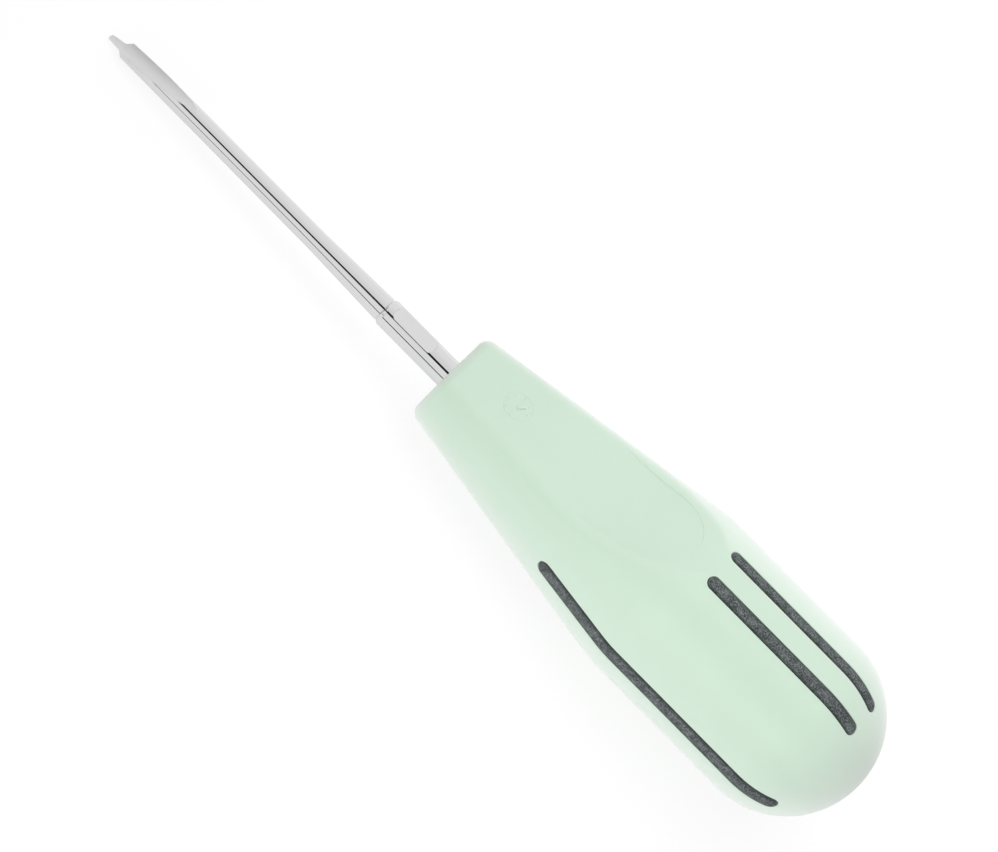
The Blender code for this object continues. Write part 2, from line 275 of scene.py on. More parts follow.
def circle_section(x, centre_z, radius, sides):
    angles = [2 * math.pi * (i + 0.5) / sides for i in range(sides)]
    return [(x, radius * math.sin(a), centre_z + radius * math.cos(a)) for a in angles]


def rounded_outline(points, radii, steps):
    """Outline with its corners rounded; a radius of zero keeps a corner sharp."""
    outline = []
    count = len(points)
    for i in range(count):
        corner = np.array(points[i])
        if radii[i] == 0:
            outline.append(tuple(corner))
            continue
        back = np.array(points[i - 1]) - corner
        ahead = np.array(points[(i + 1) % count]) - corner
        back /= np.linalg.norm(back)
        ahead /= np.linalg.norm(ahead)
        half = math.acos(np.clip(back @ ahead, -1, 1)) / 2
        bisector = (back + ahead) / np.linalg.norm(back + ahead)
        centre = corner + bisector * radii[i] / math.sin(half)
        first = corner + back * radii[i] / math.tan(half) - centre
        last = corner + ahead * radii[i] / math.tan(half) - centre
        for k in range(steps + 1):
            share = k / steps
            spoke = first * (1 - share) + last * share
            outline.append(tuple(centre + spoke * radii[i] / np.linalg.norm(spoke)))
    return outline


def blended_lines(x, corner_x, corner_z, slope_before, slope_after, radius):
    """Height at x of two lines that meet at a corner, with a round blend tangent to both."""
    before = math.atan(slope_before)
    after = math.atan(slope_after)
    reach = radius * math.tan(abs(after - before) / 2)
    start = corner_x - reach * math.cos(before)
    end = corner_x + reach * math.cos(after)
    if x <= start:
        return corner_z + slope_before * (x - corner_x)
    if x >= end:
        return corner_z + slope_after * (x - corner_x)
    side = 1 if after > before else -1
    centre_x = start - side * radius * math.sin(before)
    centre_z = corner_z + slope_before * (start - corner_x) + side * radius * math.cos(before)
    return centre_z - side * math.sqrt(radius ** 2 - (x - centre_x) ** 2)


def handle_radius(x):
    """Radius of the turned form under the flats: cone, barrel and dome."""
    if x > DOME_START:
        return BARREL_RADIUS * math.sqrt(max(0.0, 1 - ((x - DOME_START) / DOME_LENGTH) ** 2))
    cone_slope = (BARREL_RADIUS - FRONT_RADIUS) / CONE_LENGTH
    return blended_lines(x, CONE_LENGTH, BARREL_RADIUS, cone_slope, 0.0, WAIST_BLEND_RADIUS)


def ramp_start():
    flat_slope = math.tan(FLAT_ANGLE)
    ramp_slope = math.tan(RAMP_ANGLE)
    return (FLAT_FRONT_HEIGHT - BARREL_RADIUS + ramp_slope * RAMP_END) / (ramp_slope - flat_slope)


def ramp_round(radius, turn):
    """Radius and reach of the round at one end of the ramp, which takes at most half of the ramp."""
    half_ramp = (RAMP_END - ramp_start()) / 2 / math.cos(RAMP_ANGLE)
    reach = min(radius * math.tan(turn / 2), half_ramp)
    return reach / math.tan(turn / 2), reach


def flat_height(x):
    """Height of a thumb flat and its ramp above the axis."""
    flat_slope = math.tan(FLAT_ANGLE)
    ramp_slope = math.tan(RAMP_ANGLE)
    corner = ramp_start()
    if x < (corner + RAMP_END) / 2:
        height = FLAT_FRONT_HEIGHT + flat_slope * corner
        radius, _ = ramp_round(RAMP_BLEND_RADIUS, RAMP_ANGLE - FLAT_ANGLE)
        return blended_lines(x, corner, height, flat_slope, ramp_slope, radius)
    radius, _ = ramp_round(RAMP_CREST_RADIUS, RAMP_ANGLE)
    return blended_lines(x, RAMP_END, BARREL_RADIUS, ramp_slope, 0.0, radius)


def section_radius(x, angle, inset):
    """Distance from the axis to the handle's surface, at an angle from the thumb flat's normal."""
    round_radius = handle_radius(x) - inset
    flat = flat_height(x) - inset
    if flat >= round_radius:
        return round_radius
    ridge = RIDGE_RADIUS - inset
    centre_z = flat - ridge
    centre_y = math.sqrt((round_radius - ridge) ** 2 - centre_z ** 2)
    side = math.atan2(abs(math.sin(angle)), abs(math.cos(angle)))
    if side <= math.atan2(centre_y, flat):
        return flat / math.cos(side)
    if side >= math.atan2(centre_y, centre_z):
        return round_radius
    along = centre_y * math.sin(side) + centre_z * math.cos(side)
    return along + math.sqrt(ridge ** 2 - centre_y ** 2 - centre_z ** 2 + along ** 2)


# ---- Handle

def handle_section(x, inset=0.0):
    angles = [2 * math.pi * i / HANDLE_SIDES for i in range(HANDLE_SIDES)]
    radii = [section_radius(x, a, inset) for a in angles]
    return [(x, r * math.sin(a), r * math.cos(a)) for a, r in zip(angles, radii)]


def ramp_stations():
    """Close stations over the ramp, from before its foot to past its crest."""
    _, blend_reach = ramp_round(RAMP_BLEND_RADIUS, RAMP_ANGLE - FLAT_ANGLE)
    _, crest_reach = ramp_round(RAMP_CREST_RADIUS, RAMP_ANGLE)
    crest = RAMP_END + crest_reach
    return spaced(ramp_start() - blend_reach, crest, 0.35 * MM) + [crest]


def body_mesh():
    front_arc = [math.pi / 2 * k / FINE_ARC_STEPS for k in range(FINE_ARC_STEPS)]
    sections = [
        handle_section(FRONT_EDGE_RADIUS * (1 - math.cos(a)), FRONT_EDGE_RADIUS * (1 - math.sin(a)))
        for a in front_arc
    ]
    over_ramp = ramp_stations()
    stations = spaced(FRONT_EDGE_RADIUS, over_ramp[0], 0.8 * MM)
    stations += over_ramp[:-1]
    stations += spaced(over_ramp[-1], DOME_START, 0.9 * MM)
    sections += [handle_section(x) for x in stations]
    dome_steps = 44
    for k in range(dome_steps):
        angle = math.pi / 2 * k / dome_steps
        sections.append(handle_section(DOME_START + DOME_LENGTH * math.sin(angle)))
    sections.append([(HANDLE_LENGTH, 0.0, 0.0)])
    return loft("handle_body", sections)


def panel_mesh(roll):
    """Cutter whose floor lies a little under the flat inside a tongue-shaped outline."""
    xs = spaced(PANEL_FADE_START, PANEL_FULL_START, 0.8 * MM)
    xs += [x for x in ramp_stations() if PANEL_FULL_START <= x < PANEL_ROUND_START]
    turns = 28
    reach = PANEL_END - PANEL_ROUND_START
    xs += [PANEL_ROUND_START + reach * math.sin(math.pi / 2 * k / turns) for k in range(turns)]
    above = 4 * PANEL_DEPTH
    sections = []
    for x in xs:
        if x <= PANEL_ROUND_START:
            half = PANEL_HALF_WIDTH + PANEL_WIDENING * (PANEL_ROUND_START - x)
        else:
            half = PANEL_HALF_WIDTH * math.sqrt(1 - ((x - PANEL_ROUND_START) / reach) ** 2)
        fade = min(1.0, (x - PANEL_FADE_START) / (PANEL_FULL_START - PANEL_FADE_START))
        floor = flat_height(x) - PANEL_DEPTH * (1.2 * fade - 0.2)
        high = flat_height(x) + above
        flare = PANEL_WALL * above / PANEL_DEPTH
        sections.append([
            (x, half - PANEL_WALL, floor), (x, half + flare, high),
            (x, -half - flare, high), (x, PANEL_WALL - half, floor),
        ])
    return turned(loft("panel", sections), roll)


def flat_solid(outline, levels):
    """Small solid on the upper thumb flat, from a plan round the mark's middle and levels of height and size."""
    normal = np.array([-math.sin(FLAT_ANGLE), 0.0, math.cos(FLAT_ANGLE)])
    along = np.array([math.cos(FLAT_ANGLE), 0.0, math.sin(FLAT_ANGLE)])
    across = np.array([0.0, 1.0, 0.0])
    origin = np.array([MARK_PLACE, 0.0, FLAT_FRONT_HEIGHT + math.tan(FLAT_ANGLE) * MARK_PLACE])
    middle = np.mean(np.array(outline), axis=0)
    rings = []
    for height, share in levels:
        plan = [middle + (np.array(point) - middle) * share for point in outline]
        rings.append([tuple(origin + along * u + across * v + normal * height) for u, v in plan])
    return loft("mark", rings)


def ring_prism(inner, outer, depth, place):
    """Ring-shaped cutter for the mark's outline."""
    normal = np.array([-math.sin(FLAT_ANGLE), 0.0, math.cos(FLAT_ANGLE)])
    along = np.array([math.cos(FLAT_ANGLE), 0.0, math.sin(FLAT_ANGLE)])
    across = np.array([0.0, 1.0, 0.0])
    origin = np.array([place, 0.0, FLAT_FRONT_HEIGHT + math.tan(FLAT_ANGLE) * place])
    middle = (inner + outer) / 2
    profile = [(middle, -depth), (outer, depth), (inner, depth)]
    sides = 72
    points = []
    for k in range(sides):
        a = 2 * math.pi * k / sides
        for radius, height in profile:
            u = radius * math.cos(a)
            v = radius * math.sin(a)
            points.append(origin + along * u + across * v + normal * height)
    faces = []
    for k in range(sides):
        m = (k + 1) % sides
        for i in range(3):
            j = (i + 1) % 3
            faces.append((3 * k + i, 3 * k + j, 3 * m + j, 3 * m + i))
    return mesh_from("ring", points, faces)


def mark_bosses():
    """Dots round the mark and a pointed bar in it, as a mould's insert leaves."""
    meshes = []
    for k in range(MARK_DOTS):
        turn = 2 * math.pi * k / MARK_DOTS
        centre = 0.76 * MARK_RADIUS * np.array([math.cos(turn), math.sin(turn)])
        spokes = [2 * math.pi * i / 10 for i in range(10)]
        dot = [tuple(centre + MARK_DOT_RADIUS * np.array([math.cos(a), math.sin(a)])) for a in spokes]
        meshes.append(flat_solid(dot, ((-MARK_RISE / 2, 1.0), (MARK_RISE / 2, 0.7))))
    end, side = MARK_BAR_LENGTH / 2, MARK_BAR_WIDTH / 2
    bar = [(-end, -side), (end - side, -side), (end, 0.0), (end - side, side), (-end, side)]
    meshes.append(flat_solid(bar_plan(bar), ((-MARK_RISE / 2, 1.0), (MARK_RISE, 0.8))))
    return meshes


def bar_plan(points):
    """Points along and across the mark's bar, as points on the flat."""
    c, s = math.cos(MARK_TURN), math.sin(MARK_TURN)
    u0, v0 = MARK_BAR_PLACE
    return [(u0 + u * c - v * s, v0 + u * s + v * c) for u, v in points]


def mark_slot():
    """Cutter for the narrow slot along one side of the mark's bar."""
    end, side = MARK_BAR_LENGTH / 2, MARK_BAR_WIDTH / 2
    far = side + MARK_SLOT_WIDTH
    slot = [(-end, -far), (end - side, -far), (end - side, -side), (-end, -side)]
    return flat_solid(bar_plan(slot), ((-MARK_SLOT_DEPTH, 0.9), (MARK_RISE / 2, 1.0)))


def meridian(start, end):
    """Arc length along the turned form to the surface point and its outward normal."""
    xs = np.linspace(start - CUT_MARGIN, end + CUT_MARGIN, 900)
    radii = np.array([handle_radius(x) for x in xs])
    arc = np.concatenate(([0.0], np.cumsum(np.hypot(np.diff(xs), np.diff(radii)))))
    arc -= np.interp(start, xs, arc)
    length = float(np.interp(end, xs, arc))
    tilt = np.arctan2(np.gradient(radii), np.gradient(xs))

    def surface(s):
        slope = float(np.interp(s, arc, tilt))
        point = np.array([np.interp(s, arc, xs), 0.0, np.interp(s, arc, radii)])
        return point, np.array([-math.sin(slope), 0.0, math.cos(slope)])

    return surface, length


def inlay_mesh(name, width, start, end, levels, spacing):
    """Round-ended bar along the top of the turned form, through levels of height and plan inset."""
    surface, length = meridian(start, end)
    half_width = width / 2
    straight = max(2, round((length - width) / spacing))
    points = []
    for height, inset in levels:
        radius = half_width - inset
        turns = [math.pi / 2 * k / FINE_ARC_STEPS for k in range(1, FINE_ARC_STEPS)]
        plan = [(half_width - radius * math.cos(a), radius * math.sin(a)) for a in turns]
        run = length - width
        plan += [(half_width + run * k / straight, radius) for k in range(straight + 1)]
        plan += [
            (length - half_width + radius * math.cos(a), radius * math.sin(a)) for a in reversed(turns)
        ]
        outline = [(half_width - radius, 0.0)] + plan
        outline += [(length - half_width + radius, 0.0)]
        outline += [(s, -side) for s, side in reversed(plan)]
        for s, side in outline:
            point, normal = surface(s)
            points.append(point + normal * height + np.array([0.0, side, 0.0]))
    count = len(points) // len(levels)
    faces = []
    for k in range(len(levels) - 1):
        for i in range(count):
            j = (i + 1) % count
            low, high = k * count, (k + 1) * count
            faces.append((low + i, low + j, high + j, high + i))
    for base in (0, (len(levels) - 1) * count):
        faces.append((base, base + 1, base + count - 1))
        for i in range(1, count // 2 - 1):
            faces.append((base + i, base + i + 1, base + count - i - 1, base + count - i))
        middle = count // 2
        faces.append((base + middle - 1, base + middle, base + middle + 1))
    return mesh_from(name, points, faces)


def strip_levels(width):
    """Bar with rounded top edges and a slightly crowned top."""
    levels = [(-STRIP_DEPTH, 0.0), (-STRIP_DEPTH / 2, 0.0)]
    steps = 6
    for k in range(steps + 1):
        angle = math.pi / 2 * k / steps
        rise = STRIP_PROUD - STRIP_CROWN - STRIP_EDGE_RADIUS * (1 - math.sin(angle))
        levels.append((rise, STRIP_EDGE_RADIUS * (1 - math.cos(angle))))
    inner = width / 2 - STRIP_EDGE_RADIUS
    for share in (0.35, 0.7, 0.92):
        rise = STRIP_PROUD - STRIP_CROWN * (1 - share) ** 2
        levels.append((rise, STRIP_EDGE_RADIUS + inner * share))
    return levels


def groove_levels():
    """Groove with a small rounded lip where it meets the handle's surface."""
    levels = [(-STRIP_DEPTH - GROOVE_GAP, -GROOVE_GAP)]
    last = math.radians(70)
    steps = 4
    for k in range(steps + 1):
        angle = last * k / steps
        rise = -GROOVE_LIP_RADIUS * (1 - math.sin(angle))
        levels.append((rise, -GROOVE_GAP - GROOVE_LIP_RADIUS * (1 - math.cos(angle))))
    above = 0.3 * MM
    rise, inset = levels[-1]
    levels.append((rise + above, inset - above * math.tan(last)))
    return levels


STRIP_RUNS = {
    "pair": (PAIR_STRIP_WIDTH, CONE_LENGTH + PAIR_STRIP_LAG, DOME_START + STRIP_DOME_REACH),
    "side": (SIDE_STRIP_WIDTH, CONE_LENGTH - SIDE_STRIP_LEAD, DOME_START + STRIP_DOME_REACH),
}
STRIP_PLACES = {
    "top_left": ("pair", -PAIR_ANGLE),
    "top_right": ("pair", PAIR_ANGLE),
    "bottom_left": ("pair", math.pi + PAIR_ANGLE),
    "bottom_right": ("pair", math.pi - PAIR_ANGLE),
    "side_left": ("side", -math.pi / 2),
    "side_right": ("side", math.pi / 2),
}


def socket_mesh():
    radius = FERRULE_RADIUS + SOCKET_GAP
    rings = [
        (-CUT_MARGIN, radius + SOCKET_CHAMFER + CUT_MARGIN),
        (SOCKET_CHAMFER, radius),
        (TANG_LENGTH + 4 * SOCKET_GAP, radius),
    ]
    return loft("socket", [circle_section(x, 0.0, r, 96) for x, r in rings])


def handle_mesh():
    grooves = [
        turned(inlay_mesh("groove", *STRIP_RUNS[kind], groove_levels(), 1.0 * MM), roll)
        for kind, roll in STRIP_PLACES.values()
    ]
    panels = [panel_mesh(0.0), panel_mesh(math.pi)]
    ring = ring_prism(MARK_RADIUS - MARK_LINE, MARK_RADIUS, MARK_DEPTH, MARK_PLACE)
    cutters = joined("cutters", grooves + panels + [ring, mark_slot(), socket_mesh()])
    return without_slivers(with_cuts(body_mesh(), [cutters], [joined("bosses", mark_bosses())]))


# ---- Blade and shank

def shank_mesh():
    tip = -EXPOSED_LENGTH
    root = tip + TONGUE_LENGTH
    shoulder = root + (SHAFT_RADIUS - TONGUE_ROOT_RADIUS) / math.tan(SHOULDER_ANGLE)
    neck = -FERRULE_LENGTH - FERRULE_CHAMFER
    groove_floor = NECK_RADIUS - NECK_GROOVE_DEPTH
    corners = [
        (tip, 0.0, 0.0),
        (tip, TONGUE_TIP_RADIUS, TONGUE_END_ROUNDING),
        (root, TONGUE_ROOT_RADIUS, SHOULDER_FILLET),
        (shoulder, SHAFT_RADIUS, EDGE_BREAK),
        (neck - TAPER_LENGTH, SHAFT_REAR_RADIUS, 40 * SHAFT_RADIUS),
        (neck - NECK_GROOVE_WIDTH, NECK_RADIUS, EDGE_BREAK),
        (neck - NECK_GROOVE_WIDTH / 2, groove_floor, EDGE_BREAK),
        (neck + NECK_GROOVE_WIDTH / 4, NECK_RADIUS + EDGE_BREAK, EDGE_BREAK),
        (-FERRULE_LENGTH, FERRULE_RADIUS, EDGE_BREAK),
        (TANG_LENGTH - TANG_CHAMFER, FERRULE_RADIUS, 0.0),
        (TANG_LENGTH, FERRULE_RADIUS - TANG_CHAMFER, 0.0),
        (TANG_LENGTH, 0.0, 0.0),
    ]
    outline = rounded_outline([c[:2] for c in corners], [c[2] for c in corners], FINE_ARC_STEPS)
    outline = [point for point in outline if point[1] > 0]
    profile = []
    for (x0, r0), (x1, r1) in zip(outline, outline[1:]):
        for x in spaced(x0, x1, 1.0 * MM) if x1 > x0 else [x0]:
            share = (x - x0) / (x1 - x0) if x1 > x0 else 0.0
            profile.append((x, r0 + (r1 - r0) * share))
    profile.append(outline[-1])
    return loft("shank", [circle_section(x, 0.0, r, SHANK_SIDES) for x, r in profile])


def flute_curve():
    """Height of the flute's floor at the tip, its slope there, and its bend."""
    tip_height = TIP_THICKNESS - TONGUE_TIP_RADIUS
    bend = 1 / (2 * FLUTE_SWEEP_RADIUS)
    return tip_height, (SHAFT_RADIUS - tip_height) / FLUTE_LENGTH - bend * FLUTE_LENGTH, bend


def flute_floor(from_tip):
    """Height of the flute's floor above the axis: an arc that rises out of the shaft."""
    tip_height, slope, bend = flute_curve()
    return tip_height + slope * from_tip + bend * from_tip ** 2


def flute_mesh():
    overrun = 2 * CUT_MARGIN
    end = FLUTE_LENGTH + overrun
    stations = spaced(-overrun, end, 0.4 * MM) + [end]
    return loft("flute", [
        circle_section(s - EXPOSED_LENGTH, flute_floor(s) + FLUTE_RADIUS, FLUTE_RADIUS, 256)
        for s in stations
    ])


def size_flat_mesh():
    front = -SIZE_FLAT_SETBACK - SIZE_FLAT_LENGTH
    back = -SIZE_FLAT_SETBACK
    low = FERRULE_RADIUS - SIZE_FLAT_DEPTH
    high = FERRULE_RADIUS + SIZE_FLAT_RUNOUT
    corners = [(front, low), (back, low), (back, high), (front, high)]
    radii = [SIZE_FLAT_RUNOUT, SIZE_FLAT_RUNOUT, 0.0, 0.0]
    outline = rounded_outline(corners, radii, 2 * FINE_ARC_STEPS)
    width = FERRULE_RADIUS + CUT_MARGIN
    return loft("size_flat", [[(x, y, z) for x, z in outline] for y in (-width, width)])


# ---- Materials

class Nodes:
    """Short calls to build a node tree."""

    def __init__(self, tree):
        self.tree = tree
        tree.nodes.clear()

    def add(self, kind, inputs=None, **settings):
        node = self.tree.nodes.new(kind)
        for name, value in settings.items():
            setattr(node, name, value)
        for name, value in (inputs or {}).items():
            socket = node.inputs[name]
            if isinstance(value, bpy.types.NodeSocket):
                self.tree.links.new(value, socket)
            else:
                socket.default_value = value
        return node

    def math(self, operation, *values, clamp=False):
        node = self.add("ShaderNodeMath", operation=operation, use_clamp=clamp)
        for socket, value in zip(node.inputs, values):
            if isinstance(value, bpy.types.NodeSocket):
                self.tree.links.new(value, socket)
            else:
                socket.default_value = value
        return node.outputs[0]

    def dot(self, vector, direction):
        node = self.add("ShaderNodeVectorMath", operation="DOT_PRODUCT")
        self.tree.links.new(vector, node.inputs[0])
        node.inputs[1].default_value = direction
        return node.outputs["Value"]

    def remap(self, value, low, high, out_low=0.0, out_high=1.0, smooth=True):
        node = self.add("ShaderNodeMapRange", {"Value": value}, clamp=True)
        node.interpolation_type = "SMOOTHSTEP" if smooth else "LINEAR"
        node.inputs["From Min"].default_value = low
        node.inputs["From Max"].default_value = high
        node.inputs["To Min"].default_value = out_low
        node.inputs["To Max"].default_value = out_high
        return node.outputs["Result"]

    def noise(self, vector, per_metre, detail=2.0, roughness=0.5):
        node = self.add("ShaderNodeTexNoise", {"Vector": vector, "Scale": per_metre})
        node.inputs["Detail"].default_value = detail
        node.inputs["Roughness"].default_value = roughness
        return node.outputs["Fac"]

    def stretched(self, vector, scale):
        node = self.add("ShaderNodeMapping", {"Vector": vector, "Scale": scale})
        return node.outputs["Vector"]

    def choose(self, factor, low, high):
        """Number that goes from low to high with the factor."""
        node = self.add("ShaderNodeMix", data_type="FLOAT")
        for name, value in (("Factor", factor), ("A", low), ("B", high)):
            socket = [s for s in node.inputs if s.name == name and s.enabled][0]
            if isinstance(value, bpy.types.NodeSocket):
                self.tree.links.new(value, socket)
            else:
                socket.default_value = value
        return [s for s in node.outputs if s.enabled][0]

    def mix(self, factor, low, high):
        node = self.add("ShaderNodeMix", data_type="RGBA")
        for name, value in (("Factor", factor), ("A", low), ("B", high)):
            socket = [s for s in node.inputs if s.name == name and s.enabled][0]
            if isinstance(value, bpy.types.NodeSocket):
                self.tree.links.new(value, socket)
            else:
                socket.default_value = value
        return [s for s in node.outputs if s.enabled][0]


def new_material(name):
    material = bpy.data.materials.new(name)
    material.use_nodes = True
    nodes = Nodes(material.node_tree)
    shader = nodes.add("ShaderNodeBsdfPrincipled")
    output = nodes.add("ShaderNodeOutputMaterial", {"Surface": shader.outputs["BSDF"]})
    output.location = (300, 0)
    mapping = nodes.add("ShaderNodeMapping", {
        "Vector": nodes.add("ShaderNodeTexCoord").outputs["Object"],
        "Location": FRONT_CENTRE,
        "Rotation": (0.0, -REST_TILT, 0.0),
    }, vector_type="TEXTURE")
    return material, nodes, shader, mapping.outputs["Vector"]


def flute_mask(nodes, place):
    """1 on the blade's ground flute, which is the surface of a cylinder that follows its floor."""
    tip_height, slope, bend = flute_curve()
    axes = nodes.add("ShaderNodeSeparateXYZ", {"Vector": place}).outputs
    from_tip = nodes.math("ADD", axes["X"], EXPOSED_LENGTH)
    rise = nodes.math("ADD", nodes.math("MULTIPLY", from_tip, bend), slope)
    floor = nodes.math("ADD", nodes.math("MULTIPLY", from_tip, rise), tip_height)
    below = nodes.math("SUBTRACT", axes["Z"], nodes.math("ADD", floor, FLUTE_RADIUS))
    square = nodes.math("ADD", nodes.math("MULTIPLY", below, below),
                        nodes.math("MULTIPLY", axes["Y"], axes["Y"]))
    off = nodes.math("ABSOLUTE", nodes.math("SUBTRACT", nodes.math("SQRT", square), FLUTE_RADIUS))
    near = nodes.remap(off, 0.008 * MM, 0.03 * MM, 1.0, 0.0)
    return nodes.math("MULTIPLY", near, nodes.math("LESS_THAN", from_tip, FLUTE_LENGTH + CUT_MARGIN))


def steel_material():
    """Polished stainless steel, with the fine rings and streaks that turning and polishing leave."""
    material, nodes, shader, place = new_material("polished_steel")
    rings = nodes.noise(nodes.stretched(place, (9.0, 0.6, 0.6)), 900.0, 3.0, 0.6)
    streaks = nodes.noise(nodes.stretched(place, (0.15, 4.0, 4.0)), 1400.0, 3.0, 0.6)
    clouds = nodes.noise(place, 160.0, 3.0, 0.55)
    texture = nodes.math("ADD", nodes.math("MULTIPLY", rings, 0.5), nodes.math("MULTIPLY", streaks, 0.5))
    polished = nodes.mix(clouds, (0.715, 0.715, 0.722, 1.0), (0.745, 0.745, 0.752, 1.0))
    ground = flute_mask(nodes, place)
    tone = nodes.mix(ground, polished, (0.805, 0.805, 0.812, 1.0))
    gloss = nodes.math("ADD", nodes.remap(texture, 0.3, 0.7, 0.03, 0.07), nodes.remap(clouds, 0.3, 0.7, 0.0, 0.02))
    rough = nodes.math("ADD", gloss, nodes.math("MULTIPLY", ground, 0.62))
    broken_edges = nodes.add("ShaderNodeBevel", {"Radius": EDGE_BREAK}, samples=6)
    bump = nodes.add("ShaderNodeBump", {
        "Strength": 0.04, "Distance": 0.00001, "Height": texture, "Normal": broken_edges.outputs["Normal"],
    })
    nodes.tree.links.new(tone, shader.inputs["Base Color"])
    nodes.tree.links.new(rough, shader.inputs["Roughness"])
    nodes.tree.links.new(bump.outputs["Normal"], shader.inputs["Normal"])
    shader.inputs["Metallic"].default_value = 1.0
    return material


def plastic_material():
    """Satin moulded plastic, pale mint, with a faint cloudiness and a fine spark-eroded grain."""
    material, nodes, shader, place = new_material("mint_plastic")
    clouds = nodes.noise(place, 110.0, 4.0, 0.6)
    grain = nodes.noise(place, 5200.0, 2.0, 0.6)
    tone = nodes.mix(clouds, (0.460, 0.668, 0.490, 1.0), (0.490, 0.698, 0.520, 1.0))
    rough = nodes.math("ADD", nodes.remap(grain, 0.3, 0.7, 0.38, 0.46), nodes.remap(clouds, 0.3, 0.7, 0.0, 0.05))
    bump = nodes.add("ShaderNodeBump", {"Strength": 0.25, "Distance": 0.00002, "Height": grain})
    nodes.tree.links.new(tone, shader.inputs["Base Color"])
    nodes.tree.links.new(rough, shader.inputs["Roughness"])
    nodes.tree.links.new(bump.outputs["Normal"], shader.inputs["Normal"])
    shader.inputs["IOR"].default_value = 1.6
    shader.inputs["Subsurface Weight"].default_value = 0.15
    shader.inputs["Subsurface Radius"].default_value = (1.0, 1.2, 0.9)
    shader.inputs["Subsurface Scale"].default_value = 0.0008
    shader.inputs["Sheen Weight"].default_value = 1.0
    shader.inputs["Sheen Roughness"].default_value = 0.8
    shader.inputs["Coat Weight"].default_value = 1.0
    shader.inputs["Coat Roughness"].default_value = 0.45
    shader.inputs["Coat IOR"].default_value = 1.6
    return material


def elastomer_material():
    """Matt dark grey elastomer with a pale speckle, and painted shade along the strips' long edges."""
    material, nodes, shader, place = new_material("grip_elastomer")
    axes = nodes.add("ShaderNodeSeparateXYZ", {"Vector": place}).outputs
    y, z = nodes.math("ABSOLUTE", axes["Y"]), nodes.math("ABSOLUTE", axes["Z"])
    off_pair = nodes.math("ABSOLUTE", nodes.math("SUBTRACT", nodes.math("MULTIPLY", y, math.cos(PAIR_ANGLE)),
                                                 nodes.math("MULTIPLY", z, math.sin(PAIR_ANGLE))))
    off = nodes.math("MINIMUM", nodes.math("DIVIDE", off_pair, PAIR_STRIP_WIDTH / 2),
                     nodes.math("DIVIDE", z, SIDE_STRIP_WIDTH / 2))
    # Painted shade: the tone darkens towards each strip's long edges, where the groove would shade it
    painted_edge_shade = nodes.remap(off, 0.45, 1.0, 0.0, 0.7)
    speckle = nodes.noise(place, 4600.0, 4.0, 0.8)
    patches = nodes.noise(place, 700.0, 2.0, 0.5)
    share = nodes.math("ADD", nodes.remap(speckle, 0.42, 0.64), nodes.remap(patches, 0.3, 0.7, -0.15, 0.15), clamp=True)
    body = nodes.mix(share, (0.024, 0.034, 0.033, 1.0), (0.225, 0.248, 0.248, 1.0))
    # The near-black colour mixed in here is the painted shade along the strip edges
    tone = nodes.mix(painted_edge_shade, body, (0.018, 0.026, 0.024, 1.0))
    rough = nodes.remap(speckle, 0.3, 0.7, 0.72, 0.9)
    bump = nodes.add("ShaderNodeBump", {"Strength": 0.5, "Distance": 0.00004, "Height": speckle})
    nodes.tree.links.new(tone, shader.inputs["Base Color"])
    nodes.tree.links.new(rough, shader.inputs["Roughness"])
    nodes.tree.links.new(bump.outputs["Normal"], shader.inputs["Normal"])
    return material


# ---- Pieces

steel = steel_material()
plastic = plastic_material()
elastomer = elastomer_material()

blade = with_cuts(shank_mesh(), [flute_mesh(), size_flat_mesh()])
add_piece("blade_and_shank", blade, steel, math.radians(12), "blade_shank")
add_piece("handle_body", handle_mesh(), plastic, math.radians(28), "handle")
for place, (kind, roll) in STRIP_PLACES.items():
    width, start, end = STRIP_RUNS[kind]
    strip = inlay_mesh("strip_" + place, width, start, end, strip_levels(width), 0.5 * MM)
    turned(strip, roll)
    add_piece("strip_" + place, strip, elastomer, math.radians(30), "grip_strip_" + place)


# ---- Camera

turn = REST.to_3x3()
axis = turn @ Vector((1.0, 0.0, 0.0))
toward_camera = turn @ Vector((0.0, -math.sin(VIEW_ROLL), math.cos(VIEW_ROLL)))
across_axis = turn @ Vector((0.0, math.cos(VIEW_ROLL), math.sin(VIEW_ROLL)))
right = math.cos(VIEW_SLANT) * axis + math.sin(VIEW_SLANT) * across_axis
up = -math.sin(VIEW_SLANT) * axis + math.cos(VIEW_SLANT) * across_axis
offset_right = (IMAGE_WIDTH / 2 - FRONT_CENTRE_PIXEL[0]) / PIXELS_PER_METRE
offset_down = (IMAGE_HEIGHT / 2 - FRONT_CENTRE_PIXEL[1]) / PIXELS_PER_METRE
aim = FRONT_CENTRE + right * offset_right - up * offset_down
camera_data = bpy.data.cameras.new("camera")
camera_data.sensor_width = SENSOR_WIDTH
camera_data.lens = SENSOR_WIDTH * CAMERA_DISTANCE / (IMAGE_WIDTH / PIXELS_PER_METRE)
camera_data.clip_start = 0.01
camera_data.clip_end = 20.0
camera = bpy.data.objects.new("camera", camera_data)
bpy.context.scene.collection.objects.link(camera)
camera.matrix_world = Matrix.Translation(aim + toward_camera * CAMERA_DISTANCE) @ Matrix((
    (right.x, up.x, toward_camera.x),
    (right.y, up.y, toward_camera.y),
    (right.z, up.z, toward_camera.z),
)).to_4x4()
bpy.context.scene.camera = camera


# ---- Studio

def seen_directly(nodes):
    """1 for rays from the camera, from mirrors and through glass, so that all show the pale floor."""
    path = nodes.add("ShaderNodeLightPath")
    either = nodes.math("MAXIMUM", path.outputs["Is Camera Ray"], path.outputs["Is Glossy Ray"])
    return nodes.math("MAXIMUM", either, path.outputs["Is Transmission Ray"])


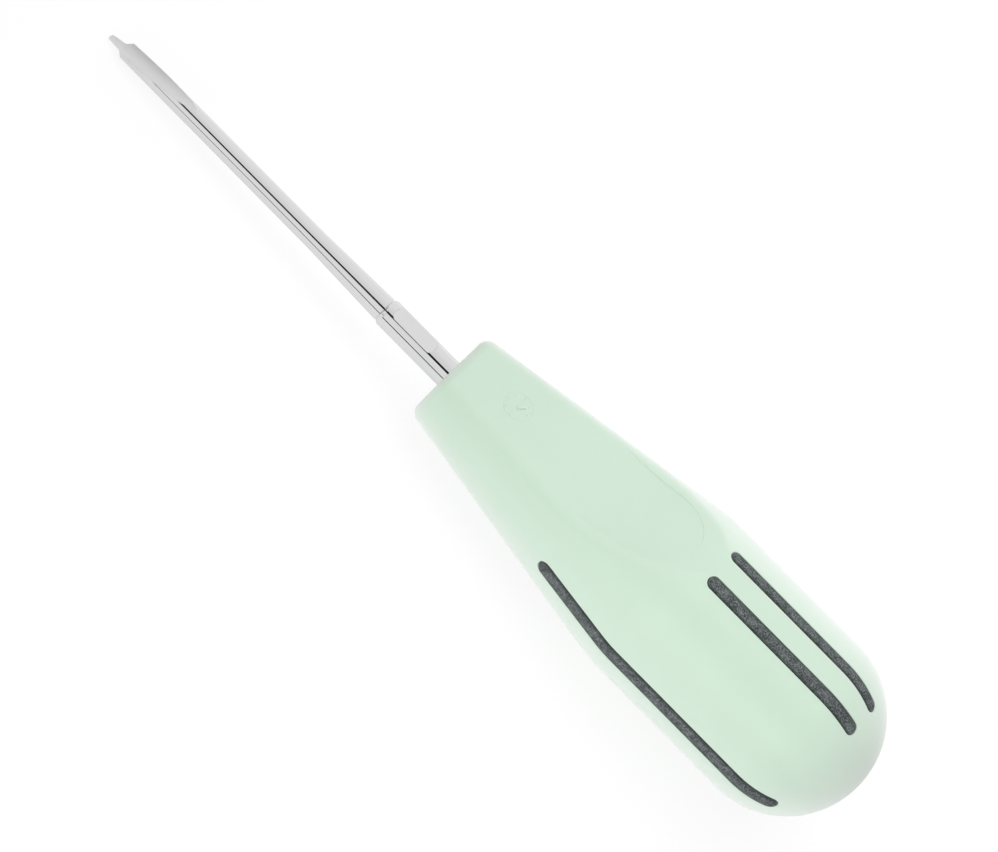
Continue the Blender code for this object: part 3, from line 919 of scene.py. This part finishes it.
def make_world():
    world = bpy.data.worlds.new("studio")
    bpy.context.scene.world = world
    world.use_nodes = True
    nodes = Nodes(world.node_tree)
    direction = nodes.add("ShaderNodeTexCoord").outputs["Generated"]
    path = nodes.add("ShaderNodeLightPath").outputs
    along = nodes.dot(direction, axis)
    swing = nodes.math("ARCTAN2", nodes.dot(direction, across_axis), nodes.dot(direction, toward_camera))
    # Soft light for matt surfaces: a tent that is darker at both ends, with a low fill on the near
    # side and another off the dome's end
    toward_tip = nodes.remap(along, -1.0, 0.0, 0.70, 1.0, smooth=False)
    toward_dome = nodes.remap(along, 0.0, 1.0, 1.0, 0.70, smooth=False)
    tent = nodes.math("MULTIPLY", nodes.math("MULTIPLY", toward_tip, toward_dome), 0.488)
    fill = nodes.math("POWER", nodes.math("MAXIMUM", nodes.dot(direction, FILL_DIRECTION), 0.0), 4.0)
    end_fill = nodes.remap(along, 0.75, 1.0, 0.0, 0.4)
    soft = nodes.math("ADD", nodes.math("ADD", tent, end_fill), nodes.math("MULTIPLY", fill, 0.34))
    # What gloss shows: the tent's two sides, its dark ends, a dark slot for the lens, a dark seam low
    # on the near side, and the dark stand to the tip's side of the lens
    upper = nodes.math("MULTIPLY", nodes.remap(swing, math.radians(20.0), math.radians(75.0), 0.86, 0.965),
                       nodes.remap(swing, math.radians(100.0), math.radians(135.0), 1.0, 1.2))
    lower = nodes.remap(swing, math.radians(-60.0), math.radians(-30.0), 0.97, 0.94)
    side = nodes.math("GREATER_THAN", swing, math.radians(2.0))
    sides = nodes.math("ADD", nodes.math("MULTIPLY", side, upper),
                       nodes.math("MULTIPLY", nodes.math("SUBTRACT", 1.0, side), lower))
    from_slot = nodes.math("ABSOLUTE", nodes.math("SUBTRACT", swing, math.radians(2.5)))
    slot = nodes.remap(from_slot, math.radians(7.0), math.radians(9.0), 0.02, 1.0)
    from_seam = nodes.math("ABSOLUTE", nodes.math("SUBTRACT", swing, math.radians(-54.0)))
    seam = nodes.remap(from_seam, math.radians(4.0), math.radians(6.5), 0.05, 1.0)
    ends = nodes.math("MULTIPLY", nodes.remap(along, -0.98, -0.88, 0.2, 1.0),
                      nodes.remap(along, 0.75, 0.98, 1.0, 0.3))
    from_stand = nodes.math("ABSOLUTE", nodes.math("SUBTRACT", swing, math.radians(-50.0)))
    stand = nodes.math("MULTIPLY", nodes.remap(from_stand, math.radians(35.0), math.radians(55.0), 0.85, 0.0),
                       nodes.math("MULTIPLY", nodes.remap(along, -0.32, -0.12, 1.0, 0.0),
                                  nodes.remap(along, -0.8, -0.6, 0.0, 1.0)))
    lines = nodes.math("MULTIPLY", nodes.math("MULTIPLY", slot, seam), ends)
    lines = nodes.math("MULTIPLY", lines, nodes.math("SUBTRACT", 1.0, stand))
    mirrored = nodes.math("MULTIPLY", sides, lines)
    direct = nodes.math("MAXIMUM", path["Is Camera Ray"], path["Is Transmission Ray"])
    level = nodes.choose(path["Is Glossy Ray"], soft, mirrored)
    strength = nodes.choose(direct, level, 1.0)
    background = nodes.add("ShaderNodeBackground", {"Color": (1.0, 1.0, 1.0, 1.0), "Strength": strength})
    nodes.add("ShaderNodeOutputWorld", {"Surface": background.outputs["Background"]})


def make_floor():
    bm = bmesh.new()
    bmesh.ops.create_grid(bm, x_segments=8, y_segments=8, size=3.0)
    mesh = bpy.data.meshes.new("floor")
    bm.to_mesh(mesh)
    bm.free()
    floor = bpy.data.objects.new("floor", mesh)
    floor.location = (0.0, 0.0, -0.00005)
    bpy.context.scene.collection.objects.link(floor)
    material = bpy.data.materials.new("floor_paper")
    material.use_nodes = True
    nodes = Nodes(material.node_tree)
    diffuse = nodes.add("ShaderNodeBsdfDiffuse", {"Color": (0.9, 0.9, 0.9, 1.0)})
    # Gloss shows the far floor on the near side as dark as the seam where the tent meets it
    place = nodes.add("ShaderNodeNewGeometry").outputs["Position"]
    distance = nodes.add("ShaderNodeVectorMath", {0: place}, operation="LENGTH").outputs["Value"]
    glossy = nodes.add("ShaderNodeLightPath").outputs["Is Glossy Ray"]
    near_side = nodes.math("LESS_THAN", nodes.dot(place, (0.0, 1.0, 0.0)), 0.0)
    far = nodes.math("MULTIPLY", near_side, nodes.remap(distance, 0.11, 0.17))
    past_dome = nodes.remap(nodes.dot(place, (1.0, 0.0, 0.0)), 0.08, 0.11)
    far = nodes.math("MULTIPLY", glossy, nodes.math("MAXIMUM", far, past_dome))
    glow = nodes.add("ShaderNodeEmission", {"Color": (1.0, 1.0, 1.0, 1.0), "Strength": nodes.choose(far, 1.05, 0.05)})
    share = nodes.math("SUBTRACT", nodes.math("MULTIPLY", seen_directly(nodes), 0.8),
                       nodes.math("MULTIPLY", glossy, 0.25))
    blend = nodes.add("ShaderNodeMixShader", {"Fac": share})
    nodes.tree.links.new(diffuse.outputs["BSDF"], blend.inputs[1])
    nodes.tree.links.new(glow.outputs["Emission"], blend.inputs[2])
    nodes.add("ShaderNodeOutputMaterial", {"Surface": blend.outputs["Shader"]})
    mesh.materials.append(material)


def make_lamp(name, location, target, size, power):
    data = bpy.data.lights.new(name, "AREA")
    data.shape = "RECTANGLE"
    data.size, data.size_y = size
    data.energy = power
    lamp = bpy.data.objects.new(name, data)
    bpy.context.scene.collection.objects.link(lamp)
    lamp.location = location
    lamp.rotation_euler = (Vector(target) - Vector(location)).to_track_quat("-Z", "Y").to_euler()
    lamp.visible_camera = False
    lamp.visible_glossy = False
    return lamp


make_world()
make_floor()
make_lamp("key_softbox", (-0.45, 0.25, 0.75), (0.0, 0.0, 0.0), (0.6, 0.6), 1.2)
HANDLE_MIDDLE = (0.031, 0.0, 0.013)
make_lamp("over_softbox", (0.031, 0.02, 0.185), HANDLE_MIDDLE, (0.16, 0.16), 0.110)
make_lamp("near_softbox", (0.031, -0.17, 0.04), HANDLE_MIDDLE, (0.10, 0.16), 0.146)
make_lamp("far_softbox", (0.031, 0.17, 0.05), HANDLE_MIDDLE, (0.10, 0.16), 0.128)

view_settings = bpy.context.scene.view_settings
view_settings.view_transform = "Standard"
